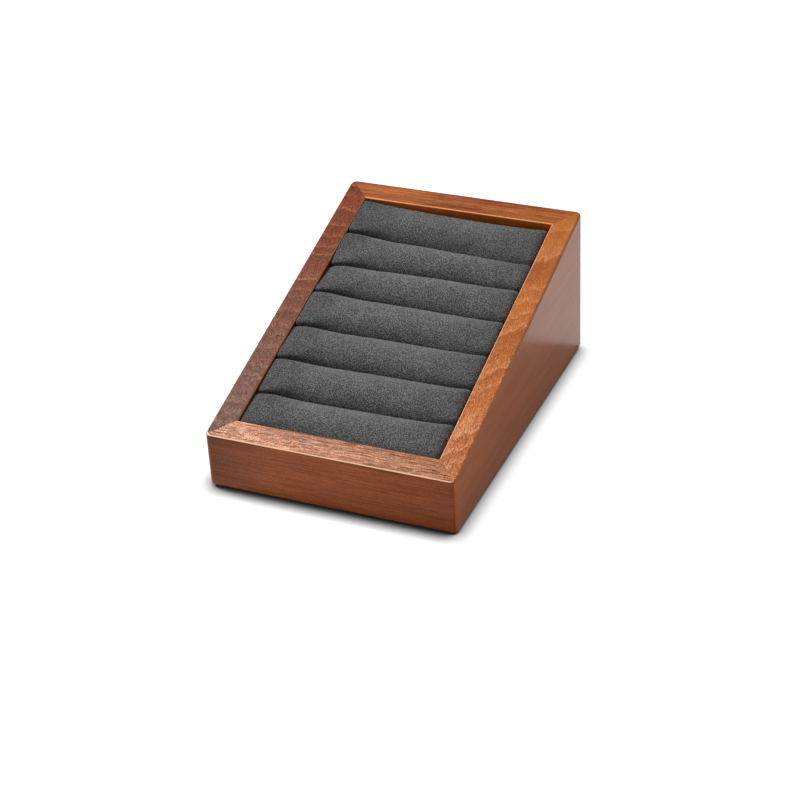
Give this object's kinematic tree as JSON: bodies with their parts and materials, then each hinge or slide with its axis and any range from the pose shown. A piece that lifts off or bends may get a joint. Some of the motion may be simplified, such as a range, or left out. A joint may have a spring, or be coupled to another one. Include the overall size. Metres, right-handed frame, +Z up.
{
  "type": "jewelry display stand",
  "caption": "Wedge-shaped wooden countertop case with a sloping lift-out insert of padded rolls that hold rings in the slots between them.",
  "frame": {"origin": "the middle of the underside, on the face of the base felt that meets the table", "axes": "+Z up, +Y from the low front rail towards the tall back board, +X to the right for someone facing the front"},
  "size_m": [0.105, 0.15, 0.0647],
  "materials": {
    "stained_wood": "satin",
    "plain_wood": "matte",
    "felt": "matte",
    "greyboard": "matte",
    "foam": "matte",
    "microfibre": "matte"
  },
  "bodies": {
    "case": {"front_rail": "stained_wood", "back_board": "stained_wood", "left_side": "stained_wood", "right_side": "stained_wood", "mitre_spline_front_left": "plain_wood", "mitre_spline_front_right": "plain_wood", "mitre_spline_back_left": "plain_wood", "mitre_spline_back_right": "plain_wood", "base_panel": "plain_wood", "base_felt": "felt", "ledge_left": "plain_wood", "ledge_right": "plain_wood", "ledge_front": "plain_wood", "ledge_back": "plain_wood"},
    "insert": {"insert_board": "greyboard", "roll_core_1": "foam", "roll_core_2": "foam", "roll_core_3": "foam", "roll_core_4": "foam", "roll_core_5": "foam", "roll_core_6": "foam", "roll_core_7": "foam", "roll_cover_1": "microfibre", "roll_cover_2": "microfibre", "roll_cover_3": "microfibre", "roll_cover_4": "microfibre", "roll_cover_5": "microfibre", "roll_cover_6": "microfibre", "roll_cover_7": "microfibre"}
  },
  "joints": [
    {"name": "insert_lift", "type": "slide", "parent": "case", "child": "insert", "axis": [0, 0, 1], "range_m": [0, 0.03]}
  ]
}
